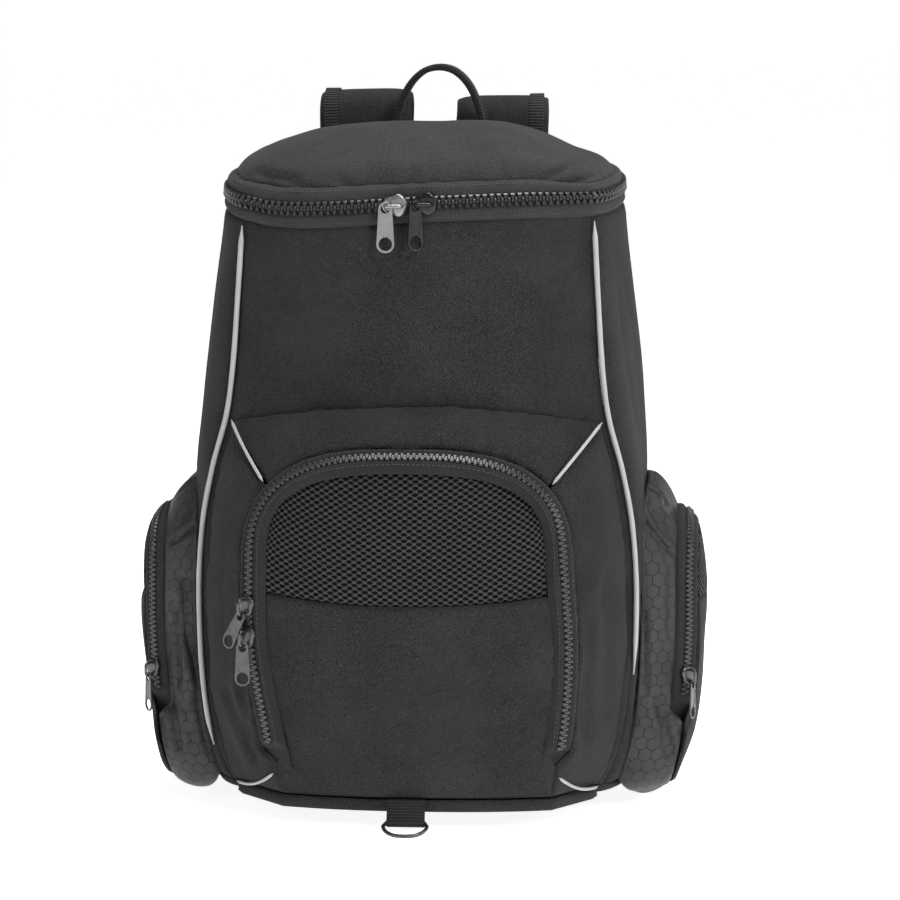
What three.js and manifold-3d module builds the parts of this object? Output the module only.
// Sports backpack, in millimetres. +X is the wearer's right, -Y the front that faces a viewer, +Z up.
// The origin lies on the floor, in the middle of the flat that the base rests on.
// Every cloth panel is a thin sheet between seams. The panels share one skin, so they meet where they are
// sewn.
import * as THREE from "three";
import { mergeVertices } from "three/addons/utils/BufferGeometryUtils.js";
import Module from "manifold-3d";

const wasm = await Module();
wasm.setup();

// Main compartment
const zipHeight = 426; // floor to the middle of the lid zipper, at the front
const halfWidth = 156; // half the width at the fullest height
const frontDepth = 92; // origin to the front panel at the fullest height
const backDepth = 84; // origin to the back panel
const frontRound = 2.4; // how flat the front panel is across: 2 is a parabola
const baseEdge = 20; // height of the seam between the base and the walls
const baseRise = 12; // how far the base curves up from the floor to its rim
const cloth = 2.2; // thickness of a cloth panel
const padding = 8; // thickness of the padded back panel
const seamGap = 0.4; // clearance between pieces that are sewn together

// Lid
const lidRise = 47; // lid zipper to the top of the dome
const lidSlump = 0.34; // how much lower the dome is at its corner on the wearer's right
const slumpFrom = 70; // how far to that side this starts
const zipRise = 7; // how much higher the lid zipper runs at the back corners
const domeRound = 2.05; // squareness of the dome from the front: 2 is an ellipse
const lidLean = 0.016; // the stuffed bag leans: rise per millimetre to the wearer's right, at the lid
const leanFrom = 230; // height where that lean starts

// Zippers: half the tape's width, half the chain's width and the chain's thickness
const lidZip = { tape: 11.5, chain: 4.6, thick: 2.4 };
const frontZip = { tape: 8.5, chain: 3.4, thick: 2 };
const sideZip = { tape: 8, chain: 3.1, thick: 1.8 };
const tapeCloth = 1.4;
const pipingRadius = 1.8;
const finePiping = 1.1;
const pipingClimb = 0.055; // how far the fine piping climbs at the foot, as a share of its panel
const pipingFoot = { right: 99, left: 46 }; // height where the long piping runs into the seam

// Front pocket
const pocketSeam = 286; // height of the seam over the pocket, at the middle
const pocketSeamDrop = 13; // how much lower that seam ends
const doorDepth = 138; // origin to the fullest point of the pocket door
const doorCrown = 15; // how far the door's edges lie behind its middle
const doorShift = -3; // the stuffed pocket's top lies a little to the wearer's left
const archHalf = 107.5; // half the width of the zipper arch
const archTop = 254; // height of the zipper arch
const archShoulder = 182; // height where the arch starts to turn in
const archRound = 2.8; // squareness of its corners: 2 is an ellipse
const zipEnd = 58; // height where the front zipper stops
const doorFoot = 21; // height of the door's bottom seam
const meshFoot = 156; // height of the seam under the mesh window
const cornerHeight = 230; // height where the fine piping meets the arch

// Side pockets
const sideTop = 205;
const sideFoot = 11;
const sideShoulder = 160; // height where the outline starts to turn in at the top
const sideHaunch = 52; // and at the foot
const sideReach = 56; // half the width of the outer face, front to back
const sideMiddle = 8; // place of its middle behind the origin
const sideOut = 184; // how far out its zipper lies
const sideCrown = 9; // how much fuller the face's middle is
const sideDrawn = 11; // how much the pocket draws in at the foot
const sideDrawnFrom = 130; // and the height where that starts
const sideTuck = 8; // how much more it turns in at the very foot
const sideTuckFrom = 50;
const sideZipEnd = 78;
const sideTopRound = 2.5; // squareness of the outline's upper corners
const sideFootRound = 3.4; // and of its lower ones
const sideZipTilt = 50; // degrees that the zipper turns towards the rim
const sideMeshFoot = 146;
// The outline where the pocket is sewn to the side panel
const sideBody = { front: 68, back: 66, top: 229, foot: 7 };

// Shoulder straps, their webbing and adjusters, the haul handle and the ring
const strap = { half: 34, foot: 29, place: 48.3, thick: 10 };
const strapRise = { right: -3.5, left: 2.5 }; // the strap on the wearer's left stands higher
const webbing = { half: 12.5, thick: 1.8 };
const adjuster = { half: 18, height: 25, thick: 6 };
const handle = { half: 35, width: 20, top: 514, thick: 4.4, place: 5.5, depth: 72 };
const ring = { half: 15.2, reach: 16, wire: 1.3, height: 7.2 };
const tab = { half: 12.8, thick: 1.5, forward: 5.5 };
const runningGap = 0.45; // clearance round the ring's bar

// Slider and pull tab of the lid. Those of the other zippers are the same at a smaller scale.
const slider = { length: 17, half: 7.6, plate: 2.2, bridge: 11, clear: 6.2, leg: 1.15 };
const pull = { reach: 23.8, hole: 4.5, end: 6.1, neck: 4.7, eye: 3.1, thick: 1.6, height: 4.1 };
const frontSlider = 0.88;
const sideSlider = 0.8;
const sliderHeight = { upper: 153, lower: 132 }; // of the two on the front pocket's zipper

// Shares of zipHeight, halfWidth, frontDepth and backDepth, chosen by hand. seam and seamFront place the long
// piping, side is the fullest width, backHalf is the back panel's edge.
const sections = [
  { at: 0, seam: 0.72, side: 0.83, front: 0.84, seamFront: 0.54, backHalf: 0.7, back: 0.84 },
  { at: 0.033, seam: 0.8, side: 0.93, front: 0.97, seamFront: 0.67, backHalf: 0.77, back: 0.96 },
  { at: 0.09, seam: 0.88, side: 0.985, front: 1, seamFront: 0.72, backHalf: 0.8, back: 1 },
  { at: 0.19, seam: 0.935, side: 1, front: 1, seamFront: 0.73, backHalf: 0.81, back: 1 },
  { at: 0.352, seam: 0.955, side: 1, front: 1, seamFront: 0.73, backHalf: 0.81, back: 1 },
  { at: 0.47, seam: 0.936, side: 1, front: 0.99, seamFront: 0.73, backHalf: 0.81, back: 1 },
  { at: 0.563, seam: 0.89, side: 1, front: 0.97, seamFront: 0.72, backHalf: 0.8, back: 1 },
  { at: 0.645, seam: 0.83, side: 0.988, front: 0.955, seamFront: 0.71, backHalf: 0.79, back: 1 },
  { at: 0.728, seam: 0.8, side: 0.972, front: 0.94, seamFront: 0.69, backHalf: 0.78, back: 1 },
  { at: 0.822, seam: 0.782, side: 0.94, front: 0.91, seamFront: 0.66, backHalf: 0.77, back: 0.99 },
  { at: 0.939, seam: 0.763, side: 0.895, front: 0.86, seamFront: 0.61, backHalf: 0.745, back: 0.97 },
  { at: 1, seam: 0.756, side: 0.88, front: 0.835, seamFront: 0.585, backHalf: 0.735, back: 0.95 },
  { at: 1.06, seam: 0.75, side: 0.862, front: 0.815, seamFront: 0.565, backHalf: 0.725, back: 0.94 },
];
// How far the lid zipper sags between its corners, in millimetres, by place around the skin
const zipSag = [
  { at: -1.3, sag: 0 },
  { at: -1, sag: 4 },
  { at: -0.85, sag: 7.8 },
  { at: -0.6, sag: 8.8 },
  { at: 0, sag: 5.4 },
  { at: 0.6, sag: 3.7 },
  { at: 0.85, sag: 3.7 },
  { at: 1.1, sag: 3.2 },
  { at: 1.3, sag: 2.4 },
  { at: 1.9, sag: 0 },
];
// Shares of archTop, doorDepth, archHalf and doorShift
const doorSections = [
  { at: 0, depth: 0.82, half: 0.81, shift: -1.1 },
  { at: 0.06, depth: 0.865, half: 0.845, shift: -1.1 },
  { at: 0.14, depth: 0.925, half: 0.875, shift: -1 },
  { at: 0.3, depth: 0.975, half: 0.94, shift: -0.7 },
  { at: 0.5, depth: 1, half: 0.99, shift: 0.3 },
  { at: 0.75, depth: 0.98, half: 0.975, shift: 1.1 },
  { at: 0.9, depth: 0.935, half: 0.97, shift: 1 },
  { at: 1, depth: 0.885, half: 0.97, shift: 1 },
];
// The run of a shoulder strap: out is millimetres from the strap's place, back from the back panel, up from
// the lid's zipper.
const strapRun = [
  { out: 0, back: 4.2, up: -46 },
  { out: 0, back: 2.4, up: -10 },
  { out: 0, back: 8, up: 26 },
  { out: 1, back: 12, up: 51 },
  { out: 0.5, back: 21, up: 59 },
  { out: 0, back: 31, up: 51 },
  { out: 1.5, back: 37, up: 22 },
  { out: 9, back: 43, up: -38 },
  { out: 22, back: 46, up: -100 },
  { out: 32, back: 42, up: -160 },
  { out: 41, back: 34, up: -215 },
  { out: 43, back: 31, up: -232 },
];
const webbingRun = [
  { out: 43.5, back: 29, up: -262 },
  { out: 48, back: 20, up: -305 },
  { out: 53, back: 9, up: -355 },
  { out: 57, back: 1.6, up: -392 },
];

const vec = (x, y, z) => new THREE.Vector3(x, y, z);
const mix = (a, b, t) => a + (b - a) * t;
const clamp01 = (t) => Math.min(1, Math.max(0, t));
const smooth = (t) => clamp01(t) ** 2 * (3 - 2 * clamp01(t));
const power = (value, exponent) => Math.sign(value) * Math.abs(value) ** exponent;
const steps = (count, from = 0, to = 1) =>
  Array.from({ length: count + 1 }, (_, i) => mix(from, to, i / count));

// A smooth curve through a table's rows, read at one height: a Hermite curve with averaged slopes.
function readTable(rows, at, column) {
  const last = rows.length - 1;
  const t = Math.min(rows[last].at, Math.max(rows[0].at, at));
  let i = 0;
  while (i < last - 1 && t > rows[i + 1].at) i += 1;
  const slope = (k) => {
    const a = rows[Math.max(0, k - 1)];
    const b = rows[Math.min(last, k + 1)];
    return (b[column] - a[column]) / (b.at - a.at);
  };
  const span = rows[i + 1].at - rows[i].at;
  const u = (t - rows[i].at) / span;
  return (
    (2 * u ** 3 - 3 * u ** 2 + 1) * rows[i][column] +
    (u ** 3 - 2 * u ** 2 + u) * span * slope(i) +
    (3 * u ** 2 - 2 * u ** 3) * rows[i + 1][column] +
    (u ** 3 - u ** 2) * span * slope(i + 1)
  );
}

// The skin of the main compartment. around runs from 0 at the middle of the front to 1 at the long piping,
// 2 at the edge of the back panel and 3 at the middle of the back, and is negative on the wearer's left.
function skin(around, height) {
  const read = (column) => readTable(sections, height / zipHeight, column);
  const part = Math.abs(around);
  const seam = halfWidth * read("seam");
  const seamFront = frontDepth * read("seamFront");
  const backHalf = halfWidth * read("backHalf");
  const back = backDepth * read("back");
  let x;
  let y;
  if (part <= 1) {
    const front = frontDepth * read("front");
    x = seam * part;
    y = -(front - (front - seamFront) * part ** frontRound);
  } else if (part <= 2) {
    const t = part - 1;
    const full = (halfWidth * read("side") - (seam + backHalf) / 8) / 0.75; // control point of a cubic curve
    x = (1 - t) ** 3 * seam + 3 * t * (1 - t) * full + t ** 3 * backHalf;
    y = -seamFront + (back + seamFront) * (0.55 * t + 0.45 * smooth(t));
  } else {
    x = backHalf * (3 - part);
    y = back;
  }
  return vec(around < 0 ? -x : x, y, height);
}

const zipLine = (around) =>
  zipHeight + zipRise * smooth(Math.abs(around) - 1) - readTable(zipSag, around, "sag");

// The domed lid above the zipper line: turn runs from 0 at the zipper to 1 at the top.
function dome(around, turn) {
  const rim = skin(around, zipLine(around));
  const angle = (turn * Math.PI) / 2;
  const inwards = Math.cos(angle) ** (2 / domeRound);
  const slump = 1 - lidSlump * smooth((rim.x * inwards - slumpFrom) / 45);
  const rise = (zipHeight + lidRise - rim.z) * Math.sin(angle) ** (2 / domeRound);
  return vec(rim.x * inwards, rim.y * inwards, rim.z + rise * slump);
}
const tapeTurn = (width) => (Math.asin((width / lidRise) ** (domeRound / 2)) * 2) / Math.PI;

// Across the lid's zipper: offset is the height below (negative) or above the chain's middle.
const acrossLidZip = (around, offset) =>
  offset <= 0 ? skin(around, zipLine(around) + offset) : dome(around, tapeTurn(offset));

// The lean that the stuffed bag has: a shear that grows with height.
function lean(point) {
  const rise = lidLean * smooth((point.z - leanFrom) / (zipHeight - leanFrom));
  return vec(point.x, point.y, point.z + rise * point.x);
}

// Unit normal of a surface at one place, by small differences. outward says which way counts as out. reach is
// the difference along u: a wide one turns the normal halfway round a seam that it crosses, which mitres the
// sheets there.
function normalOf(surface, u, v, outward, reach = 1e-3) {
  const du = surface(u + reach, v).sub(surface(u - reach, v));
  const dv = surface(u, v + 1e-3).sub(surface(u, v - 1e-3));
  const n = du.cross(dv).normalize();
  return n.dot(outward(surface(u, v))) < 0 ? n.negate() : n;
}
const awayFromAxis = (p) => vec(p.x, p.y, 0);
const towardsFront = () => vec(0, -1, 0);
// The same with the lift kept level, for pieces that end on one level
const besideSkin = (around, height, lift) =>
  skin(around, height).addScaledVector(
    normalOf(skin, around, height, awayFromAxis, 0.03).setZ(0).normalize(),
    lift,
  );
const offSkin = (around, height, lift) =>
  skin(around, height).addScaledVector(normalOf(skin, around, height, awayFromAxis, 0.03), lift);

function geometryFrom(points, triangles) {
  const positions = new Float32Array(points.flatMap((p) => [p.x, p.y, p.z]));
  let volume = 0;
  for (const [a, b, c] of triangles) {
    volume += points[a].dot(points[b].clone().cross(points[c]));
  }
  const index = triangles.flatMap(([a, b, c]) => (volume < 0 ? [a, c, b] : [a, b, c]));
  const made = new THREE.BufferGeometry();
  made.setAttribute("position", new THREE.BufferAttribute(positions, 3));
  made.setIndex(index);
  return made;
}

// A closed solid between two grids of points, rows[v][u]. closed joins the last column to the first.
// pole closes the last row with one point of each grid.
function solidBetween(outer, inner, { closed = false, pole = false } = {}) {
  const rows = outer.length;
  const columns = outer[0].length;
  const points = [...outer.flat(), ...inner.flat()];
  const half = rows * columns;
  const at = (side, v, u) => side * half + v * columns + (u % columns);
  const triangles = [];
  const quad = (a, b, c, d) => triangles.push([a, b, c], [a, c, d]);
  const spans = closed ? columns : columns - 1;
  for (let v = 0; v < rows - 1; v += 1) {
    for (let u = 0; u < spans; u += 1) {
      quad(at(0, v, u), at(0, v, u + 1), at(0, v + 1, u + 1), at(0, v + 1, u));
      quad(at(1, v, u), at(1, v + 1, u), at(1, v + 1, u + 1), at(1, v, u + 1));
    }
  }
  const top = rows - 1;
  for (let u = 0; u < spans; u += 1) {
    quad(at(0, 0, u), at(1, 0, u), at(1, 0, u + 1), at(0, 0, u + 1));
    if (!pole) quad(at(0, top, u), at(0, top, u + 1), at(1, top, u + 1), at(1, top, u));
  }
  if (!closed) {
    const end = columns - 1;
    for (let v = 0; v < rows - 1; v += 1) {
      quad(at(0, v, 0), at(0, v + 1, 0), at(1, v + 1, 0), at(1, v, 0));
      quad(at(0, v, end), at(1, v, end), at(1, v + 1, end), at(0, v + 1, end));
    }
  }
  if (pole) {
    for (const side of [0, 1]) {
      const middle = vec(0, 0, 0);
      for (const p of side ? inner[top] : outer[top]) middle.add(p);
      points.push(middle.divideScalar(columns));
      const tip = points.length - 1;
      for (let u = 0; u < spans; u += 1) {
        const edge = [at(side, top, u), at(side, top, u + 1)];
        triangles.push(side ? [edge[1], edge[0], tip] : [edge[0], edge[1], tip]);
      }
    }
  }
  return geometryFrom(points, triangles);
}

// A sheet of cloth: surface(u, v) is its outer face, and its thickness goes inwards from there.
// inward(u, v) may give the direction of the thickness at a seam, where two sheets have to agree.
function sheet(surface, us, vs, thickness, options = {}) {
  const { lift = 0, outward = awayFromAxis, reach = 1e-3, inward = () => null, ...ends } = options;
  const direction = (u, v) => inward(u, v)?.negate() ?? normalOf(surface, u, v, outward, reach);
  const rows = (depth) => vs.map((v) => us.map((u) => surface(u, v).addScaledVector(direction(u, v), depth)));
  return solidBetween(rows(lift), rows(lift - thickness), ends);
}

// A solid through rings of points. loop joins the last ring to the first, otherwise flat ends close it.
function loft(rings, loop = false) {
  const sides = rings[0].length;
  const triangles = [];
  const spans = loop ? rings.length : rings.length - 1;
  for (let i = 0; i < spans; i += 1) {
    const next = (i + 1) % rings.length;
    for (let k = 0; k < sides; k += 1) {
      const m = (k + 1) % sides;
      triangles.push([i * sides + k, i * sides + m, next * sides + m]);
      triangles.push([i * sides + k, next * sides + m, next * sides + k]);
    }
  }
  if (!loop) {
    const end = (rings.length - 1) * sides;
    for (let k = 1; k < sides - 1; k += 1) {
      triangles.push([0, k + 1, k], [end, end + k, end + k + 1]);
    }
  }
  return geometryFrom(rings.flat(), triangles);
}

// A profile carried along frames { at, side, up }: profileAt(share of the way) lists [along side, along up].
const sweep = (frames, profileAt, loop = false) =>
  loft(
    frames.map(({ at, side, up }, i) =>
      profileAt(i / (frames.length - 1)).map(([s, u]) =>
        at.clone().addScaledVector(side, s).addScaledVector(up, u),
      ),
    ),
    loop,
  );

// Frames along a list of points. side is as near as can be to the given direction, square to the path.
function framesAlong(path, wanted, loop = false) {
  const last = path.length - 1;
  return path.map((at, i) => {
    const before = path[loop ? (i + last) % path.length : Math.max(0, i - 1)];
    const after = path[loop ? (i + 1) % path.length : Math.min(last, i + 1)];
    const along = after.clone().sub(before).normalize();
    const side = wanted.clone().addScaledVector(along, -wanted.dot(along)).normalize();
    return { at, side, up: side.clone().cross(along).normalize() };
  });
}
const circle = (radius, sides) =>
  Array.from({ length: sides }, (_, k) => {
    const angle = (2 * Math.PI * (k + 0.5)) / sides;
    return [radius * Math.cos(angle), radius * Math.sin(angle)];
  });
const strip = (half, low, high) => [
  [-half, low],
  [half, low],
  [half, high],
  [-half, high],
];
const pillow = (half, thick) => [
  [-half, -thick * 0.2],
  [-half * 0.88, -thick / 2],
  [half * 0.88, -thick / 2],
  [half, -thick * 0.2],
  [half, thick * 0.2],
  [half * 0.88, thick / 2],
  [-half * 0.88, thick / 2],
  [-half, thick * 0.2],
];
const smoothPath = (points, count) =>
  new THREE.CatmullRomCurve3(points, false, "centripetal").getSpacedPoints(count);

function asSolid(geometry) {
  const bare = geometry.clone();
  for (const name of Object.keys(bare.attributes)) {
    if (name !== "position") bare.deleteAttribute(name);
  }
  const merged = mergeVertices(bare, 1e-4);
  const vertProperties = merged.attributes.position.array;
  return new wasm.Manifold(
    new wasm.Mesh({ numProp: 3, vertProperties, triVerts: new Uint32Array(merged.index.array) }),
  );
}
function fromSolid(solid) {
  const mesh = solid.getMesh();
  const made = new THREE.BufferGeometry();
  made.setAttribute("position", new THREE.BufferAttribute(new Float32Array(mesh.vertProperties), 3));
  made.setIndex(new THREE.BufferAttribute(new Uint32Array(mesh.triVerts), 1));
  return made;
}

// Finishes, from the photograph
const finish = (color, roughness, metalness = 0) =>
  new THREE.MeshStandardMaterial({ color, roughness, metalness });
const blackCloth = finish(0x2b2a2b, 0.85);
const ripstop = finish(0x2a2929, 0.6);
const airMesh = finish(0x262525, 0.9);
const zipTape = finish(0x353131, 0.9);
const zipTeeth = finish(0x1c1a1a, 0.35);
const metal = finish(0x3a3a3b, 0.3, 0.8);
const reflective = finish(0xc9cacc, 0.45);
const webCloth = finish(0x1d1c1c, 0.8);
const hardPlastic = finish(0x171717, 0.4);

const backpack = new THREE.Group();
function add(name, geometry, material) {
  const mesh = new THREE.Mesh(geometry, material);
  mesh.name = name;
  backpack.add(mesh);
}
const bothSides = [
  { name: "right", sign: 1 },
  { name: "left", sign: -1 },
];
const mirrored = (p, sign) => vec(sign * p.x, p.y, p.z);

// Main compartment: front, sides, padded back and base
const seamHalf = 0.0045; // half a seam's clearance, as a share of a panel
const wallTop = (around) => zipLine(around) - lidZip.tape - 2 * seamGap;

function mainPanels() {
  const wall = (u, v) => skin(u, mix(baseEdge, wallTop(u), v));
  const options = { reach: 0.03 };
  const across = steps(12, -1 + seamHalf, 1 - seamHalf);
  add("front_panel", sheet(wall, across, steps(8), cloth, options), blackCloth);
  for (const { name, sign } of bothSides) {
    const us = steps(6, sign * (1 + seamHalf), sign * (2 - seamHalf));
    add(`side_panel_${name}`, sheet(wall, us, steps(10), cloth, options), blackCloth);
  }
  const back = (u, v) => {
    const p = skin(2, mix(baseEdge, wallTop(2), v));
    return vec(u * (p.x - cloth - 2 * seamGap), p.y, p.z);
  };
  const backwards = { outward: () => vec(0, 1, 0) };
  add("back_panel", sheet(back, steps(4, -1, 1), steps(10), padding, backwards), blackCloth);
}

// The base lies flat in the middle and curves up to its rim, which the walls stand on.
const flatShare = { front: 0.62, back: 0.88 };
function basePanel() {
  const loop = steps(31, -3, 3 - 6 / 32);
  const backwards = (u) => smooth((Math.abs(u) - 1.5) / 1.2);
  const rowAt = (t) =>
    loop.map((u) => {
      const share = mix(mix(flatShare.front, flatShare.back, backwards(u)), 1, t);
      const rise = mix(baseRise, baseRise * 0.6, backwards(u));
      return skin(u, 0).multiplyScalar(share).setZ(rise * t ** 2);
    });
  const outer = [loop.map((u) => skin(u, baseEdge - seamGap)), rowAt(1), rowAt(0.6), rowAt(0)];
  const inner = outer.map((row, i) =>
    row.map((p) => {
      const inwards = 1 - (cloth * (3 - i)) / 3 / Math.hypot(p.x, p.y);
      return vec(p.x * inwards, p.y * inwards, p.z + (cloth * i) / 3);
    }),
  );
  add("base_panel", solidBetween(outer, inner, { closed: true, pole: true }), blackCloth);
}

// The lid: a dome inside its zipper, sewn to the back panel behind the zipper's ends
const lidZipEnd = 1.975;
function lid() {
  const low = -lidZip.tape + seamGap;
  const high = lidZip.tape + 2 * seamGap;
  const front = steps(28, -lidZipEnd, lidZipEnd);
  const behind = steps(5, lidZipEnd + 0.03, 6 - lidZipEnd - 0.03).map((u) => (u > 3 ? u - 6 : u));
  const face = (u, v) => {
    if (v > 0) return dome(u, v);
    return acrossLidZip(u, Math.abs(u) > lidZipEnd + 0.01 ? low : high);
  };
  const turns = [0, 0.4, 0.56, 0.74, 0.9];
  const slope = (u, v) => {
    const n = normalOf(dome, u, Math.max(v, 0.33), (p) => vec(p.x, p.y, 60));
    return v > 0 ? n.negate() : n.multiply(vec(1, 1, 0.3)).normalize().negate();
  };
  const options = { closed: true, pole: true, inward: slope };
  add("lid_panel", sheet(face, [...front, ...behind], turns, cloth, options), blackCloth);
}

function lidZipper() {
  const us = steps(34, -lidZipEnd, lidZipEnd);
  add("lid_zip_tape", sheet(acrossLidZip, us, [-lidZip.tape, 0, lidZip.tape], tapeCloth), zipTape);
  const lift = seamGap + lidZip.thick;
  const chain = [-lidZip.chain, lidZip.chain];
  add("lid_zip_chain", sheet(acrossLidZip, us, chain, lidZip.thick, { lift }), zipTeeth);
}

// Front pocket: a door inside a zipper arch, with a panel over it, one at each side and a floor
const doorHalf = (height) => archHalf * readTable(doorSections, height / archTop, "half");
function doorFace(x, height) {
  const read = (column) => readTable(doorSections, height / archTop, column);
  const back = doorCrown * Math.abs(x / archHalf) ** frontRound;
  return vec(x + doorShift * read("shift"), back - doorDepth * read("depth"), height);
}
// The arch that the zipper follows: turn is -1 at the foot on the wearer's left, 0 at the top and 1 on the
// wearer's right.
function arch(turn) {
  const part = Math.abs(turn);
  let inwards = 1;
  let z = archTop;
  if (part > 0.5) {
    z = mix(archShoulder, doorFoot, (part - 0.5) / 0.5);
  } else {
    const angle = part * Math.PI;
    inwards = Math.sin(angle) ** (2 / archRound);
    z = archShoulder + (archTop - archShoulder) * Math.cos(angle) ** (2 / archRound);
  }
  const x = doorHalf(z) * inwards;
  return doorFace(turn < 0 ? -x : x, z);
}
const legTurn = (height) => 0.5 + (0.5 * (archShoulder - height)) / (archShoulder - doorFoot);

// Even steps along the arch, because its corners would otherwise bunch the points.
function archTurns(count, from, to) {
  const dense = steps(400, from, to);
  const along = [0];
  for (let i = 1; i < dense.length; i += 1) {
    along.push(along[i - 1] + arch(dense[i]).distanceTo(arch(dense[i - 1])));
  }
  return steps(count, 0, along.at(-1)).map((want) => {
    let i = 1;
    while (i < dense.length - 1 && along[i] < want) i += 1;
    return mix(dense[i - 1], dense[i], (want - along[i - 1]) / (along[i] - along[i - 1]));
  });
}
// The turn at which the arch passes the foot of the fine piping
const cornerTurn = (() => {
  let turn = 0;
  while (arch(turn).z > cornerHeight && turn < 0.5) turn += 0.002;
  return turn;
})();

// 1 where the front zipper runs, 0 below its ends, where the door is sewn to the panels beside it
const zippedFront = (z) => smooth((z - zipEnd + 16) / 13);
const doorInset = (z) => frontZip.tape * 0.8 * zippedFront(z) + seamGap;
// The way that the front zipper's tape lies: side runs from the door's edge (negative) to the panels round
// it.
function tapeFrame(turn) {
  const at = arch(turn);
  const along = arch(turn + 0.004).sub(arch(turn - 0.004)).normalize();
  const outwards = vec(at.x - doorShift, 0, Math.max(0, at.z - archShoulder)).normalize();
  const tilt = mix(0.75, 1.35, smooth((at.z - archShoulder) / (archTop - archShoulder)));
  const up = vec(0, -1, 0).addScaledVector(outwards, tilt);
  up.addScaledVector(along, -up.dot(along)).normalize();
  const side = up.clone().cross(along).normalize();
  if (side.dot(outwards) < 0) side.negate();
  return { at, side, up };
}
function tapeEdge(turn) {
  const { at, side } = tapeFrame(turn);
  return at.addScaledVector(side, (frontZip.tape + 2 * seamGap) * zippedFront(at.z) + seamGap);
}

function frontDoor() {
  const spread = (u) => Math.sin((u * Math.PI) / 2); // closer columns near the door's edges
  const column = (u, z) => spread(u) * (doorHalf(z) - doorInset(z));
  const topOf = (u) => {
    const rise = (1 - Math.abs(spread(u)) ** archRound) ** (1 / archRound);
    return archShoulder + (archTop - archShoulder - doorInset(archTop)) * rise;
  };
  const seamOf = (u) => meshFoot + 7 * spread(u) ** 2;
  const mesh = (u, v) => {
    const z = mix(seamOf(u) + seamGap / 2, topOf(u), v);
    return doorFace(column(u, z), z);
  };
  const lower = (u, v) => {
    const z = mix(doorFoot, seamOf(u) - seamGap / 2, v);
    return doorFace(column(u, z), z);
  };
  const us = steps(10, -1, 1);
  const options = { outward: towardsFront, inward: () => vec(0, 1, 0) };
  add("pocket_door_mesh", sheet(mesh, us, steps(4), cloth, options), airMesh);
  add("pocket_door_panel", sheet(lower, us, [0, 0.15, 0.28, 0.5, 0.75, 1], cloth, options), blackCloth);
}

function frontZipper() {
  const last = legTurn(zipEnd);
  const frames = archTurns(42, -last, last).map(tapeFrame);
  const chainTop = seamGap + frontZip.thick;
  add("front_zip_tape", sweep(frames, () => strip(frontZip.tape, -tapeCloth, 0)), zipTape);
  add("front_zip_chain", sweep(frames, () => strip(frontZip.chain, seamGap, chainTop)), zipTeeth);
}

// The panels round the arch start on the main compartment's skin, just inside the long piping.
const pocketEdge = 0.965;
const overFront = seamGap + cloth;
const pocketTopSeam = (u) => offSkin(u * pocketEdge, pocketSeam - pocketSeamDrop * u ** 2, overFront);
const ridge = vec(0.35, -0.7, 0.4); // the way that the panels bulge at the seam between them
const puff = 4.5;
const bulge = (t) => Math.sin(Math.PI * clamp01(t));

// The panel beside the door: v is 0 at its foot and 1 at its top, u is 0 at the long piping and 1 at the
// arch.
const flankTurn = (v) => mix(1, cornerTurn + 0.005, v);
function pocketFlank(sign, v, u) {
  const height = mix(doorFoot, pocketSeam - pocketSeamDrop - 1.2, v);
  const way = vec(0.7, -0.7, 0).lerp(ridge, smooth((v - 0.6) / 0.4));
  const fullness = mix(1.5, puff, smooth(v / 0.4));
  return besideSkin(sign * pocketEdge, height, overFront)
    .lerp(tapeEdge(sign * flankTurn(v)), u)
    .addScaledVector(mirrored(way, sign), fullness * bulge(u));
}

function pocketPanels() {
  const topPanel = (u, v) => {
    const lower = tapeEdge(u * (cornerTurn - 0.005));
    const way = vec(0, -0.6, 0.8).lerp(mirrored(ridge, Math.sign(u)), Math.abs(u) ** 3);
    return pocketTopSeam(u).lerp(lower, v).addScaledVector(way, puff * bulge(v));
  };
  const seamWay = (sign) => mirrored(ridge, -sign).multiply(vec(1, -1, -1)).normalize();
  const topOptions = {
    outward: towardsFront,
    inward: (u) => (Math.abs(u) === 1 ? seamWay(Math.sign(u)) : null),
  };
  add("pocket_top_panel", sheet(topPanel, steps(12, -1, 1), steps(3), cloth, topOptions), blackCloth);
  for (const { name, sign } of bothSides) {
    const turnAt = (v) => sign * flankTurn(v);
    const panel = (v, u) => pocketFlank(sign, v, u);
    // Straight back where the panel meets the door, level along the foot
    const inward = (v, u) => {
      if (v === 1) return seamWay(sign);
      const into = normalOf(panel, Math.max(v, 1e-3), u, () => vec(0, 1, 0));
      if (u === 1) into.lerp(vec(0, 1, 0), 1 - zippedFront(arch(turnAt(v)).z));
      return (v === 0 ? into.setZ(0) : into).normalize();
    };
    const rows = [0, 0.09, 0.17, 0.28, 0.4, 0.52, 0.64, 0.76, 0.88, 1];
    const options = { outward: towardsFront, inward };
    add(`pocket_side_${name}`, sheet(panel, rows, steps(3), cloth, options), blackCloth);
  }
}

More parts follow.
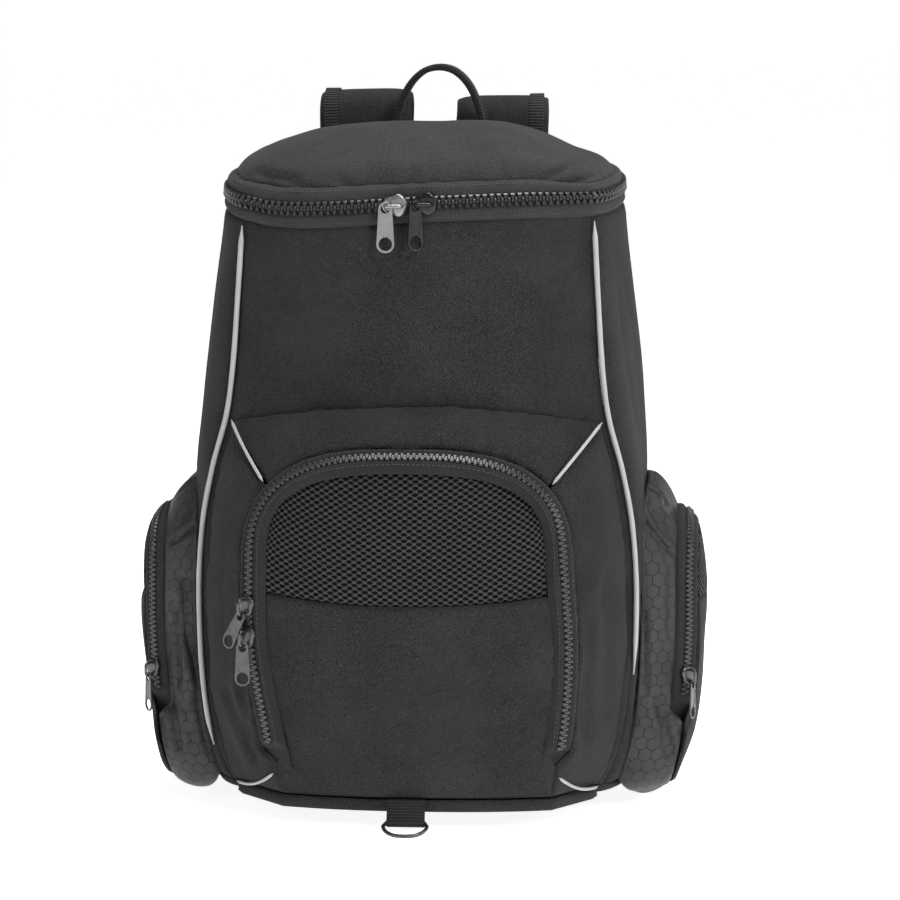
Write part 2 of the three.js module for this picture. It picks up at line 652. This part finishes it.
// The floor of the front pocket: round its front edge from the door's foot and back to the base's rim
function pocketFloor() {
  const corner = (sign) => besideSkin(sign * pocketEdge, doorFoot, overFront);
  const doorShare = 0.8; // share of the floor's width that the door spans
  const doorSpan = doorHalf(doorFoot) - doorInset(doorFoot);
  const frontEdge = (u) => {
    const sign = u < 0 ? -1 : 1;
    const edge = doorFace(doorSpan * clamp01(Math.abs(u) / doorShare) * sign, doorFoot);
    return edge.lerp(corner(sign), clamp01((Math.abs(u) - doorShare) / (1 - doorShare)));
  };
  const share = cloth / (baseEdge - baseRise);
  const backEdge = (u) => {
    const at = skin(u * pocketEdge, 0).lerp(skin(u * pocketEdge, baseEdge), share);
    return at.setZ(baseRise).add(vec(0, -3 * seamGap, 0));
  };
  // Along the floor's section: back is the share of the way back, drop of the way down, and level how far the
  // wall's thickness has turned from straight back to straight up
  const section = [
    { back: 0, drop: 0, level: 0 },
    { back: 0.03, drop: 0.6, level: 0.25 },
    { back: 0.15, drop: 0.97, level: 0.8 },
    { back: 1, drop: 1, level: 1 },
  ];
  const us = [-1, -0.9, -0.8, -0.6, -0.3, 0, 0.3, 0.6, 0.8, 0.9, 1];
  const drop = doorFoot - seamGap - baseRise;
  const rowAt = (depth) =>
    section.map(({ back, drop: down, level }) =>
      us.map((u) => {
        const from = frontEdge(u);
        const to = backEdge(u);
        const z = doorFoot - seamGap - drop * down;
        return vec(mix(from.x, to.x, back), mix(from.y, to.y, back), z).add(
          vec(0, depth * (1 - level), depth * level),
        );
      }),
    );
  add("pocket_floor", solidBetween(rowAt(0), rowAt(cloth)), blackCloth);
}

// Side pockets: a band of ripstop stands off the side panel and carries the zipper and the outer face.
// turn runs up the front edge from 0 to 1, over the top to 2, down the back to 3 and under the foot to 4.
function pocketOutline(turn, { front, back, top, foot }) {
  const piece = Math.floor(turn) % 4;
  const t = turn - Math.floor(turn);
  if (piece === 0) return { y: sideMiddle - front, z: mix(sideHaunch, sideShoulder, t) };
  if (piece === 2) return { y: sideMiddle + back, z: mix(sideShoulder, sideHaunch, t) };
  const round = piece === 1 ? sideTopRound : sideFootRound;
  const c = Math.cos(Math.PI * t);
  const across = power(c, 2 / round);
  const rise = Math.sin(Math.PI * t) ** (2 / round);
  if (piece === 1) {
    return { y: sideMiddle - across * (c > 0 ? front : back), z: sideShoulder + rise * (top - sideShoulder) };
  }
  return { y: sideMiddle + across * (c > 0 ? back : front), z: sideHaunch - rise * (sideHaunch - foot) };
}
const rimOutline = (turn, inset = 0) =>
  pocketOutline(turn, {
    front: sideReach - inset,
    back: sideReach - inset,
    top: sideTop - inset,
    foot: sideFoot + inset,
  });
const tiltAngle = (sideZipTilt * Math.PI) / 180;
const tapeInset = sideZip.tape * Math.cos(tiltAngle); // half the tape's width, seen from the side
const tapeStep = sideZip.tape * Math.sin(tiltAngle); // and from the front
const zipped = (z) => smooth((z - sideZipEnd + 17) / 13); // 1 where the zipper runs, 0 under its ends
function sideOutAt(y, z) {
  const across = clamp01(Math.abs(y - sideMiddle) / sideReach);
  const up = clamp01((z - sideShoulder * 0.75) / (sideTop - sideShoulder * 0.75));
  const down = clamp01((sideShoulder * 0.75 - z) / (sideShoulder * 0.75 - sideFoot));
  const crown = sideCrown * (1 - across ** 2.2) * (1 - up ** 2.6) * (1 - down ** 2.6);
  const drawn = sideDrawn * clamp01((sideDrawnFrom - z) / sideDrawnFrom) ** 1.5;
  const tucked = sideTuck * clamp01((sideTuckFrom - z) / sideTuckFrom) ** 1.5;
  return sideOut + crown - drawn - tucked;
}
// The place on the side panel at one depth and height, found by halving
function onSidePanel(y, z, lift) {
  const height = Math.max(z, baseEdge + 2);
  let low = 1.01;
  let high = 1.99;
  for (let i = 0; i < 30; i += 1) {
    const middle = (low + high) / 2;
    if (skin(middle, height).y < y) low = middle;
    else high = middle;
  }
  return vec(offSkin(low, height, lift).x, y, z);
}

function sidePocketBand(sign) {
  const up = [0, 0.1, 0.23, 0.42, 0.7, 1];
  const down = up.map((t) => 3 - t).reverse();
  const bandTurns = [...up, ...steps(7, 1, 2).slice(1, -1), ...down, ...steps(8, 3, 4).slice(1, -1)];
  const shares = [0, 0.45, 1];
  const fullness = [0, 3, 0];
  const bandAt = (depth) =>
    shares.map((share, i) =>
      bandTurns.map((turn) => {
        const body = pocketOutline(turn, {
          front: sideBody.front - depth,
          back: sideBody.back - depth,
          top: sideBody.top - depth,
          foot: sideBody.foot + depth,
        });
        const rim = rimOutline(turn, depth);
        const from = onSidePanel(body.y, body.z, 2.5 * seamGap);
        const underPanel = sideOutAt(rim.y, rim.z) + tapeStep - cloth - 2 * seamGap;
        const to = vec(mix(underPanel, underTape(turn), zipped(rim.z)) - seamGap, rim.y, rim.z);
        const out = vec(0, to.y - sideMiddle, to.z - (sideTop + sideFoot) / 2).normalize();
        return mirrored(from.lerp(to, share).addScaledVector(out, fullness[i]), sign);
      }),
    );
  return solidBetween(bandAt(0), bandAt(cloth), { closed: true });
}

// The way that a side pocket's zipper tape lies, on the wearer's right
function sideTapeFrame(turn) {
  const placeAt = (t) => {
    const { y, z } = rimOutline(t, tapeInset);
    return vec(sideOutAt(y, z), y, z);
  };
  const at = placeAt(turn);
  const along = placeAt(turn + 0.01).sub(placeAt(turn - 0.01)).normalize();
  const outwards = vec(0, along.z, -along.y).normalize();
  if (outwards.dot(vec(0, at.y - sideMiddle, at.z - sideShoulder * 0.7)) < 0) outwards.negate();
  const up = vec(Math.cos(tiltAngle), 0, 0).addScaledVector(outwards, Math.sin(tiltAngle));
  up.addScaledVector(along, -up.dot(along)).normalize();
  return { at, side: up.clone().cross(along).normalize(), up };
}

// How far out the lowest edge of that tape lies
const underTape = (turn) => sideTapeFrame(turn).at.x - tapeStep - tapeCloth * Math.cos(tiltAngle);

function sidePockets() {
  const besideTape = 2 * tapeInset + tapeCloth * Math.sin(tiltAngle) + seamGap;
  const edgeInset = (z) => besideTape * zipped(z) + seamGap;
  const spread = (u) => Math.sin((u * Math.PI) / 2);
  // One row of the face: z is its height at this column, edge its height where it meets the tape
  const face = (u, z, edge) => {
    const y = sideMiddle + spread(u) * (sideReach - edgeInset(edge));
    return vec(sideOutAt(y, z) + tapeStep, y, z);
  };
  const roundAt = (u, round) => (1 - Math.abs(spread(u)) ** round) ** (1 / round);
  const meshRise = sideTop - edgeInset(sideTop) - sideShoulder;
  const meshTop = (u) => sideShoulder + meshRise * roundAt(u, sideTopRound);
  const panelFoot = (u) => sideHaunch - (sideHaunch - sideFoot - seamGap) * roundAt(u, sideFootRound);
  const mesh = (u, v) => face(u, mix(sideMeshFoot + seamGap / 2, meshTop(u), v), sideMeshFoot);
  const seam = sideMeshFoot - seamGap / 2;
  const panel = (u, v) => face(u, mix(panelFoot(u), seam, v), mix(sideHaunch, seam, v));
  const start = (sideZipEnd - sideHaunch) / (sideShoulder - sideHaunch);
  const zipTurns = [...steps(4, start, 1), ...steps(9, 1, 2).slice(1), ...steps(4, 2, 3 - start).slice(1)];
  const frames = zipTurns.map(sideTapeFrame);
  const chainTop = seamGap + sideZip.thick;
  for (const { name, sign } of bothSides) {
    const cut = (surface, rows) =>
      sheet((u, v) => mirrored(surface(u, v), sign), steps(6, -1, 1), rows, cloth, {
        inward: () => vec(-sign, 0, 0),
      });
    const run = (profile) =>
      sweep(
        frames.map(({ at, side, up }) => ({
          at: mirrored(at, sign),
          side: mirrored(side, sign),
          up: mirrored(up, sign),
        })),
        () => profile,
      );
    add(`side_pocket_gusset_${name}`, sidePocketBand(sign), ripstop);
    add(`side_zip_tape_${name}`, run(strip(sideZip.tape, -tapeCloth, 0)), zipTape);
    add(`side_zip_chain_${name}`, run(strip(sideZip.chain, seamGap, chainTop)), zipTeeth);
    add(`side_pocket_mesh_${name}`, cut(mesh, steps(3)), airMesh);
    add(`side_pocket_panel_${name}`, cut(panel, [0, 0.1, 0.25, 0.6, 1]), blackCloth);
  }
}

// Piping: long cords in the seams beside the front panel, fine ones at the front pocket's corners
function piping() {
  for (const { name, sign } of bothSides) {
    const lift = pipingRadius + seamGap;
    const path = steps(18, pipingFoot[name], wallTop(1) - 4).map((z) => offSkin(sign, z, lift));
    add(`piping_${name}`, sweep(framesAlong(path, vec(0, 1, 0)), () => circle(pipingRadius, 5)), reflective);

    const way = mirrored(ridge, sign).normalize();
    const fine = finePiping + seamGap;
    const from = offSkin(sign * pocketEdge, pocketSeam - pocketSeamDrop - 0.6, overFront);
    const to = tapeEdge(sign * cornerTurn);
    const upper = steps(6, 0.02, 0.97).map((t) => {
      const at = from.clone().lerp(to, t).addScaledVector(mirrored(ridge, sign), puff * bulge(t));
      return at.addScaledVector(way, fine);
    });
    const round = () => circle(finePiping, 5);
    add(`piping_upper_${name}`, sweep(framesAlong(upper, vec(0, 0, 1)), round), reflective);

    const off = vec(sign * 0.45, -1, -0.1).normalize();
    const lower = steps(6, 0.05, 0.95).map((t) =>
      pocketFlank(sign, pipingClimb * t ** 2, t).addScaledVector(off, fine + 0.2),
    );
    add(`piping_lower_${name}`, sweep(framesAlong(lower, vec(0, 0, 1)), round), reflective);
  }
}

// A slider and its pull tab stand in one frame: along the zipper, across it, and up off the tape.
function sliderSolid({ at, along, up }, scale, chain, legSide) {
  const across = up.clone().cross(along);
  const place = (a, c, n) =>
    at.clone().addScaledVector(along, a).addScaledVector(across, c).addScaledVector(up, n);
  const floor = seamGap + chain.thick + 0.5;
  const top = floor + slider.plate * scale;
  const outline = (size, n) =>
    Array.from({ length: 14 }, (_, k) => {
      const angle = (2 * Math.PI * k) / 14;
      const half = slider.half * (1 - 0.26 * legSide * Math.cos(angle));
      const along = (slider.length / 2) * scale * size * Math.cos(angle);
      return place(along, half * scale * size * Math.sin(angle), n);
    });
  const plate = loft([outline(1, floor), outline(1, mix(floor, top, 0.6)), outline(0.86, top)]);
  const legs = (slider.bridge / 2) * scale;
  const crown = top + (slider.clear + slider.leg) * scale;
  const bend = 1.5 * scale;
  const path = [
    [-legs, top - 0.3],
    [-legs, crown - bend],
    [-legs + bend * 0.3, crown - bend * 0.3],
    [-legs + bend, crown],
    [legs - bend, crown],
    [legs - bend * 0.3, crown - bend * 0.3],
    [legs, crown - bend],
    [legs, top - 0.3],
  ].map(([a, n]) => place(a, 0, n));
  const bridge = sweep(framesAlong(path, across), () => circle(slider.leg * scale, 6));
  return fromSolid(asSolid(plate).add(asSolid(bridge)));
}

// The pull tab hangs from one leg of the bridge. swing turns it about that leg, twist about its own length.
function pullTab({ at, along, up }, scale, chain, legSide, swing, twist) {
  const shape = new THREE.Shape();
  shape.moveTo(-pull.neck, 0);
  shape.absarc(0, 0, pull.neck, Math.PI, 0, true);
  shape.lineTo(pull.end, -pull.reach);
  shape.absarc(0, -pull.reach, pull.end, 0, -Math.PI, true);
  const eye = new THREE.Path().absarc(0, 0, pull.eye, 0, 2 * Math.PI, false);
  const grip = new THREE.Path().absarc(0, -pull.reach, pull.hole, 0, 2 * Math.PI, false);
  shape.holes.push(eye, grip);
  const made = new THREE.ExtrudeGeometry(shape, { depth: pull.thick, bevelEnabled: false, curveSegments: 5 });
  made.translate(0, slider.leg + 0.3 - pull.eye, -pull.thick / 2); // the eye hangs on the leg
  made.scale(scale, scale, scale);
  made.rotateY(twist);
  const down = vec(0, 0, -1).addScaledVector(up, up.z).normalize().applyAxisAngle(up, swing);
  const wide = up.clone().cross(down);
  const lift = seamGap + chain.thick + 0.5 + (slider.plate + pull.height) * scale;
  const leg = at.clone().addScaledVector(along, (legSide * slider.bridge * scale) / 2);
  leg.addScaledVector(up, lift);
  const basis = new THREE.Matrix4().makeBasis(wide, down.clone().negate(), up).setPosition(leg);
  const det = basis.determinant();
  if (det < 0) basis.multiply(new THREE.Matrix4().makeScale(-1, 1, 1));
  made.applyMatrix4(basis);
  return made;
}

function slidersAndPulls() {
  const lidFrame = (around) => ({ at: acrossLidZip(around, 0), along: vec(1, 0, 0), up: vec(0, -1, 0) });
  const frontFrame = (height) => {
    const { at, up } = tapeFrame(-legTurn(height));
    const level = up.setZ(0).normalize();
    return { at, along: vec(0, 0, 1), up: level };
  };
  const sideFrame = (sign) => {
    const start = (sideZipEnd + 16 - sideHaunch) / (sideShoulder - sideHaunch);
    const { at, up } = sideTapeFrame(start);
    return { at: mirrored(at, sign), along: vec(0, 0, 1), up: mirrored(up, sign).setZ(0).normalize() };
  };
  const turned = (degrees) => (degrees * Math.PI) / 180;
  const onLid = { scale: 1, chain: lidZip, leg: -1, swing: 0 };
  const onFront = { scale: frontSlider, chain: frontZip, leg: -1 };
  const onSide = { scale: sideSlider, chain: sideZip, leg: -1, swing: 0 };
  const pieces = [
    { name: "lid_left", frame: lidFrame(-0.118), ...onLid, twist: 0 },
    { name: "lid_right", frame: lidFrame(0.052), ...onLid, twist: 38 },
    { name: "front_upper", frame: frontFrame(sliderHeight.upper), ...onFront, swing: -31, twist: 0 },
    { name: "front_lower", frame: frontFrame(sliderHeight.lower), ...onFront, swing: 0, twist: 28 },
    { name: "side_right", frame: sideFrame(1), ...onSide, twist: 30 },
    { name: "side_left", frame: sideFrame(-1), ...onSide, twist: -15 },
  ];
  for (const { name, frame, scale, chain, leg, swing, twist } of pieces) {
    add(`slider_${name}`, sliderSolid(frame, scale, chain, leg), metal);
    add(`pull_${name}`, pullTab(frame, scale, chain, leg, turned(swing), turned(twist)), metal);
  }
}

// Padded shoulder straps, the webbing that continues them and the adjusters between
const strapCut = 2.6; // how much lower the slanting end of a strap reaches than its middle line
function straps() {
  for (const { name, sign } of bothSides) {
    const run = (table) =>
      table.map(({ out, back, up }) => {
        const rise = strapRise[name] * clamp01((up + 46) / 80);
        return vec(sign * (strap.place + out), backDepth + back, zipHeight + up + rise);
      });
    const path = smoothPath(run(strapRun), 22);
    const profile = (t) => pillow(mix(strap.half, strap.foot, smooth(t * 1.4)), strap.thick);
    add(`shoulder_strap_${name}`, sweep(framesAlong(path, vec(1, 0, 0)), profile), blackCloth);

    const [, end] = run(strapRun).slice(-2);
    const middle = end.z - strapCut - seamGap - adjuster.height / 2;
    const plate = new THREE.BoxGeometry(2 * adjuster.half, adjuster.thick, adjuster.height);
    const start = run(webbingRun)[0];
    plate.translate(mix(end.x, start.x, 0.5), mix(end.y, start.y, 0.4), middle);
    add(`adjuster_${name}`, plate, hardPlastic);
    const path2 = smoothPath(run(webbingRun), 8);
    const flatWeb = () => strip(webbing.half, -webbing.thick / 2, webbing.thick / 2);
    add(`strap_webbing_${name}`, sweep(framesAlong(path2, vec(1, 0, 0)), flatWeb), webCloth);
  }
}

// The haul handle: webbing on edge, sewn into the lid behind the dome
function haulHandle() {
  const shape = [
    { out: 1, up: 0.05 },
    { out: 0.99, up: 0.3 },
    { out: 0.9, up: 0.58 },
    { out: 0.68, up: 0.82 },
    { out: 0.36, up: 0.96 },
    { out: 0, up: 1 },
  ];
  const crown = handle.top - handle.thick;
  const at = ({ out, up }, sign) =>
    vec(handle.place + sign * out * handle.half, handle.depth, mix(zipHeight, crown, up));
  const points = [...shape.map((p) => at(p, -1)), ...shape.slice(0, -1).reverse().map((p) => at(p, 1))];
  const frames = framesAlong(smoothPath(points, 24), vec(0, 1, 0));
  const web = sweep(frames, () => strip(handle.width / 2, 0, handle.thick));
  const loop = steps(23, -3, 3 - 6 / 24);
  const above = (u, turn) => normalOf(dome, u, Math.max(0.05, turn), (p) => vec(p.x, p.y, 60));
  const rows = [0, 0.3, 0.5, 0.7, 0.9].map((turn) =>
    loop.map((u) => dome(u, turn).addScaledVector(above(u, turn), 2.2 * seamGap)),
  );
  const core = rows.map((row) => row.map((p) => vec(p.x * 0.5, p.y * 0.5, p.z - 60)));
  const underneath = asSolid(solidBetween(rows, core, { closed: true, pole: true }));
  const pieces = asSolid(web).subtract(underneath).decompose();
  const whole = pieces.reduce((best, piece) => (piece.volume() > best.volume() ? piece : best));
  add("haul_handle", fromSolid(whole), webCloth);
}

// The tab at the foot of the door holds a ring on a folded length of webbing.
const tabSeat = vec(doorShift, doorFace(0, doorFoot + 1).y - seamGap - tab.thick - 0.25, doorFoot + 1);
const ringBar = vec(doorShift, tabSeat.y - tab.forward, ring.height);
function ringAndTab() {
  const toSeat = tabSeat.clone().sub(ringBar).normalize();
  const front = vec(0, -toSeat.z, toSeat.y);
  const loopRadius = ring.wire + runningGap + tab.thick / 2;
  const apart = tab.thick / 2 + 0.15;
  const path = [
    tabSeat.clone().addScaledVector(front, apart),
    ...steps(8).map((t) => {
      const angle = Math.PI * t;
      return ringBar
        .clone()
        .addScaledVector(front, loopRadius * Math.cos(angle))
        .addScaledVector(toSeat, -loopRadius * Math.sin(angle));
    }),
    tabSeat.clone().addScaledVector(front, -apart),
  ];
  const across = vec(1, 0, 0);
  const flatWeb = () => strip(tab.half, -tab.thick / 2, tab.thick / 2);
  add("ring_tab", sweep(framesAlong(path, across), flatWeb), webCloth);

  const dip = Math.asin((ring.height - ring.wire - 0.1) / ring.reach);
  const forward = vec(0, -Math.cos(dip), -Math.sin(dip));
  const place = (x, f) => ringBar.clone().addScaledVector(across, x).addScaledVector(forward, f);
  const bow = steps(12, 0.07, 0.93).map((t) => {
    const angle = Math.PI * t;
    return place(ring.half * power(Math.cos(angle), 0.8), ring.reach * Math.sin(angle) ** 0.8);
  });
  const corner = ring.half - ring.wire;
  const loop = [place(-corner, 0), place(0, 0), place(corner, 0), ...bow];
  const square = across.clone().cross(forward);
  add("d_ring", sweep(framesAlong(loop, square, true), () => circle(ring.wire, 6), true), metal);
}

mainPanels();
basePanel();
lid();
lidZipper();
frontDoor();
frontZipper();
pocketPanels();
pocketFloor();
sidePockets();
piping();
slidersAndPulls();
straps();
haulHandle();
ringAndTab();

for (const mesh of backpack.children) {
  const position = mesh.geometry.getAttribute("position");
  for (let i = 0; i < position.count; i += 1) {
    const leaned = lean(vec(0, 0, 0).fromBufferAttribute(position, i));
    position.setXYZ(i, leaned.x, leaned.y, leaned.z);
  }
}

export default backpack;
